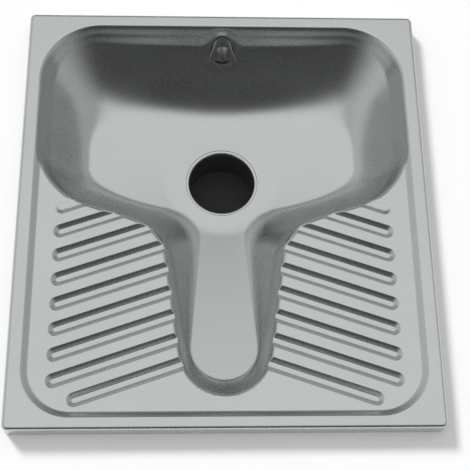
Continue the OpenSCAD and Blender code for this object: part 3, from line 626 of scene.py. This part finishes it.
def relief(name, shapes, matrix, material, smooth=True):
    """One piece made of several small shapes, each given in mm in its own place's axes."""
    points, faces = [], []
    for verts, parts in shapes:
        faces += [tuple(i + len(points) for i in f) for f in parts]
        points += [matrix @ Vector(v) for v in verts]
    obj = new_object(name, points, faces, material, smooth=smooth)
    mesh = bmesh.new()
    mesh.from_mesh(obj.data)
    bmesh.ops.recalc_face_normals(mesh, faces=mesh.faces)
    mesh.to_mesh(obj.data)
    mesh.free()


def ripple(n, r, depth, waves):
    """Radii of a weld bead with its ripples."""
    return [r * (1 + depth * math.sin(2 * math.pi * waves * k / n)) for k in range(n)]


def circle(r, z, n):
    return [(r * math.cos(a), r * math.sin(a), z) for a in np.linspace(0, 2 * math.pi, n, endpoint=False)]


def line(a, b, n):
    return [tuple(p + (q - p) * k / (n - 1) for p, q in zip(a, b)) for k in range(n)]


# welds under the drain: radius, height, bead's radius, depth of the ripples, stations and ripples
for label, r, z, bead, depth, n, waves in (("spigot", 56.4, -5.2, 1.7, 0.09, 288, 72),
                                           ("seat", 66.5, -2.5, 1.2, 0.1, 320, 96)):
    relief(label + "_weld_bead", [bar(circle(r, z, n), ripple(n, bead, depth, waves), closed=True)],
           at_drain, weld_steel)

THREAD_PITCH, THREAD_TOP, THREAD_END = 1.81, -14.4, -33.2
TAIL_R, THREAD_R, THREAD_RUNOUT = 14.0, 0.55, 0.1
TURN = 40                                           # stations per turn
end = TURN * int((THREAD_TOP - THREAD_END) / THREAD_PITCH)
helix, radii = [], []
for k in range(end + 1):
    a = 2 * math.pi * k / TURN
    helix.append((TAIL_R * math.cos(a), TAIL_R * math.sin(a), THREAD_TOP - THREAD_PITCH * k / TURN))
    radii.append(THREAD_R * min(1, THREAD_RUNOUT + 2 * k / TURN, THREAD_RUNOUT + 2 * (end - k) / TURN))
relief("tail_thread", [bar(helix, radii, sides=6)], at_inlet, spreader_steel)

# the clips: their ribs, and the worm screw's hexagonal head with its socket
RIB, RIB_ANGLES = (0.5, 0.9, 6.0), np.radians(np.arange(-38, 219, 6.4))
HEAD_X, HEAD_OUT = 9.6, 3
HEAD = [(0, 0), (3.1, 0), (3.9, 0.6), (3.9, 2.2), (3.3, 2.9), (1.2, 2.9), (0.9, 1.6), (0, 1.6)]
for label, middle, r in (("tail", -44.25, 18.2), ("pipe", -63.75, 18.1)):
    ribs = [brick((r * math.cos(a), r * math.sin(a), middle), RIB, a) for a in RIB_ANGLES]
    relief("clip_ribs_" + label, ribs, at_inlet, fastener_steel, smooth=False)
    turned = Matrix.Translation((HEAD_X, -r - HEAD_OUT, middle)) @ Matrix.Rotation(math.pi / 2, 4, "Y")
    head = lathe("clip_screw_" + label, HEAD, at_inlet @ turned, fastener_steel, 6, closed=False)
    head.data.polygons.foreach_set("use_smooth", [False] * len(head.data.polygons))

# beads along the top and down both ends of each lug and of the bonding tag
LIP_IN, FOOT = HALF_W - SHEET - DRAFT - 0.1, -LIP
BEAD_IN, BEAD_FOOT, BEAD_DEPTH = 1.2, 5.0, 0.12
TOP_BEAD, END_BEAD = (41, 1.1, BEAD_DEPTH, 14), (21, 1.0, BEAD_DEPTH, 7)
LUG_Y, LUG_HALF, LUG_HEIGHT = 225.0, 20.0, 21.0
TAG_Y, TAG_HALF, TAG_HEIGHT = -120.0, 9.0, 19.0
welded = [(i * LIP_IN, j * LUG_Y, LUG_HALF, LUG_HEIGHT) for i in (-1, 1) for j in (-1, 1)]
beads = []
for x, y, half, height in welded + [(LIP_IN, TAG_Y, TAG_HALF, TAG_HEIGHT)]:
    inner, high = x - math.copysign(BEAD_IN, x), FOOT + height
    beads.append(bar(line((inner, y - half, high), (inner, y + half, high), TOP_BEAD[0]), ripple(*TOP_BEAD)))
    for side_y in (y - half, y + half):
        run = line((inner, side_y, high), (inner, side_y, FOOT + BEAD_FOOT), END_BEAD[0])
        beads.append(bar(run, ripple(*END_BEAD), axis=(1, 0, 0)))
upright = Matrix.Translation((0, 0, LIFT))
relief("bracket_weld_beads", beads, upright, weld_steel)

# spot welds in the feet of the stiffening channels
CHANNEL_SHEET, CHANNEL_GAP, CHANNEL_HALF, CHANNEL_SETBACK = 1.5, 0.3, 25.0, 22.0
CHANNEL_FOOT = -TRAY_DEPTH - GROOVE_DEPTH - SHEET - CHANNEL_GAP - CHANNEL_SHEET
SPOT_PITCH, SPOT_START, SPOT_END, SPOT_OUT, SPOT_R, SPOT_DEPTH = 22.0, 12, 6, 20, 2.8, 0.35
spots = []
for inset, length in ((66.0, 210.0), (130.0, 150.0)):
    x = TRAY_HALF - inset
    back_end = HEEL_Y + (x - CHANNEL_HALF - HEEL_X) * math.tan(HEEL_A) - CHANNEL_SETBACK
    for y in np.arange(back_end - SPOT_START, back_end - length + SPOT_END, -SPOT_PITCH):
        spots += [dome((hand * x + foot, y, CHANNEL_FOOT), SPOT_R, SPOT_DEPTH)
                  for hand in (-1, 1) for foot in (-SPOT_OUT, SPOT_OUT)]
relief("channel_spot_welds", spots, upright, weld_steel)

# ------------------------------------------------------------------ floor
# the last grey is that of a disc of painted shade, seen through the drain
FLOOR_GLOW, FLOOR_GREY, DRAIN_SHADE_GREY = 0.1, 0.76, 0.04
low_z = box_at_load[0].z


def stage_mesh(name, verts, faces, material):
    new_object(name, verts, faces, material, body=None, smooth=False, scale=1)


def highest(tree, a, b):
    """The larger of two values in a node tree."""
    node = tree.nodes.new("ShaderNodeMath")
    node.operation = "MAXIMUM"
    link(tree, a, node.inputs[0])
    link(tree, b, node.inputs[1])
    return node.outputs[0]


floor_mat, ft, fb = node_material("pale_floor")
fb.inputs["Base Color"].default_value = (FLOOR_GREY, FLOOR_GREY, FLOOR_GREY, 1)
fb.inputs["Roughness"].default_value = 0.9
fb.inputs["Specular IOR Level"].default_value = 0.1
fb.inputs["Emission Color"].default_value = (1, 1, 1, 1)
path = ft.nodes.new("ShaderNodeLightPath")
seen = highest(ft, path.outputs["Is Camera Ray"], path.outputs["Is Glossy Ray"])
seen = highest(ft, seen, path.outputs["Is Transmission Ray"])
glow = ft.nodes.new("ShaderNodeMath")
glow.operation = "MULTIPLY"
glow.inputs[1].default_value = FLOOR_GLOW
link(ft, seen, glow.inputs[0])
link(ft, glow.outputs[0], fb.inputs["Emission Strength"])
# the lip's foot rests on the floor, and the bowl hangs in an opening in it, as the pan is fitted
FLOOR_HALF_SIZE, FLOOR_Z, FLOOR_UNDER_LIP = 8.0, -0.0004, 4
OPENING_X, OPENING_Y = (HALF_W - FLOOR_UNDER_LIP) * MM, (HALF_L - FLOOR_UNDER_LIP) * MM
corners = [(-1, -1), (1, -1), (1, 1), (-1, 1)]
stage_mesh("floor", [(i * FLOOR_HALF_SIZE, j * FLOOR_HALF_SIZE, FLOOR_Z) for i, j in corners]
           + [(i * OPENING_X, j * OPENING_Y, FLOOR_Z) for i, j in corners],
           [(0, 1, 5, 4), (1, 2, 6, 5), (2, 3, 7, 6), (3, 0, 4, 7)], floor_mat)
# painted shade: a dark disc under the spigot's foot stands for the darkness deep inside the drain, seen
# through the drain's hole
drain_shade_mat, _, pb = node_material("drain_painted_shade")
pb.inputs["Base Color"].default_value = (DRAIN_SHADE_GREY, DRAIN_SHADE_GREY, DRAIN_SHADE_GREY, 1)
pb.inputs["Roughness"].default_value = 0.9
PIPE_R, PIPE_DROP, PIPE_SIDES = 0.0545, 0.0002, 64
disc = [(PIPE_R * math.cos(a), DRAIN_Y * MM + PIPE_R * math.sin(a), low_z - PIPE_DROP)
        for a in np.linspace(0, 2 * math.pi, PIPE_SIDES, endpoint=False)]
stage_mesh("drain_shade_disc", disc, [tuple(range(PIPE_SIDES))], drain_shade_mat)

# ------------------------------------------------------------------ light
ROOM_LEVEL, TOP_LEVEL, LEFT_LEVEL, RIGHT_LEVEL = 0.05, 0.84, 0.61, 0.47
KEY_FROM, KEY_ANGLE, KEY_STRENGTH = (-0.75, 1.0, 1.0), 14.0, 2.9
world = bpy.data.worlds.new("studio")
scene.world = world
world.use_nodes = True
wt = world.node_tree
back = wt.nodes["Background"]
wc = wt.nodes.new("ShaderNodeTexCoord")


def sky(axis, start, end, low, high):
    """A smooth change of level with the direction's share of an axis."""
    dot = wt.nodes.new("ShaderNodeVectorMath")
    dot.operation = "DOT_PRODUCT"
    dot.inputs[1].default_value = axis
    link(wt, wc.outputs["Generated"], dot.inputs[0])
    shade = wt.nodes.new("ShaderNodeMapRange")
    shade.interpolation_type = "SMOOTHSTEP"
    for key, value in zip(("From Min", "From Max", "To Min", "To Max"), (start, end, low, high)):
        shade.inputs[key].default_value = value
    link(wt, dot.outputs["Value"], shade.inputs["Value"])
    return shade.outputs["Result"]


# a wide soft light overhead, in a room that is lighter at both sides and dark in front
overhead = sky((0.0, 0.1, 0.995), 0.6, 0.84, ROOM_LEVEL, ROOM_LEVEL + TOP_LEVEL)
left = sky((-0.966, 0.259, 0.0), 0.0, 0.9, ROOM_LEVEL, ROOM_LEVEL + LEFT_LEVEL)
right_side = sky((0.966, 0.259, 0.0), 0.0, 0.9, ROOM_LEVEL, ROOM_LEVEL + RIGHT_LEVEL)
link(wt, highest(wt, highest(wt, overhead, left), right_side), back.inputs["Strength"])
back.inputs["Color"].default_value = (1, 1, 1, 1)

# the key gives the floor its shadow, and the steel shows only the soft room
key_data = bpy.data.lights.new("key", "SUN")
key_data.angle = math.radians(KEY_ANGLE)
key_data.energy = KEY_STRENGTH
key = bpy.data.objects.new("key", key_data)
scene.collection.objects.link(key)
key.rotation_euler = (-Vector(KEY_FROM)).to_track_quat("-Z", "Y").to_euler()
key.visible_glossy = False

# ------------------------------------------------------------------ camera, at the photograph's angle
# fitted to the flange's outline: direction and roll in degrees, distance and aim in metres
az, el, roll = (math.radians(v) for v in (-6.2477, 68.2245, 5.8935))
dist, tx, ty = 1.4332192, 0.0146474, -0.0469824
FOCAL_PX, PICTURE_PX, SENSOR_MM = 1000, 470, 36
toward = Vector((math.sin(az) * math.cos(el), -math.cos(az) * math.cos(el), math.sin(el)))
side = Vector((0, 0, 1)).cross(toward).normalized()
over = toward.cross(side)
right = math.cos(roll) * side + math.sin(roll) * over
up = -math.sin(roll) * side + math.cos(roll) * over
cam_data = bpy.data.cameras.new("camera")
cam_data.lens = FOCAL_PX / PICTURE_PX * SENSOR_MM
cam_data.sensor_width = SENSOR_MM
cam_data.clip_start, cam_data.clip_end = 0.01, 50
cam = bpy.data.objects.new("camera", cam_data)
scene.collection.objects.link(cam)
place = Matrix((right, up, toward)).transposed().to_4x4()
place.translation = Vector((tx, ty, LIFT * MM)) + toward * dist
cam.matrix_world = place
scene.camera = cam
scene.view_settings.view_transform = "Standard"
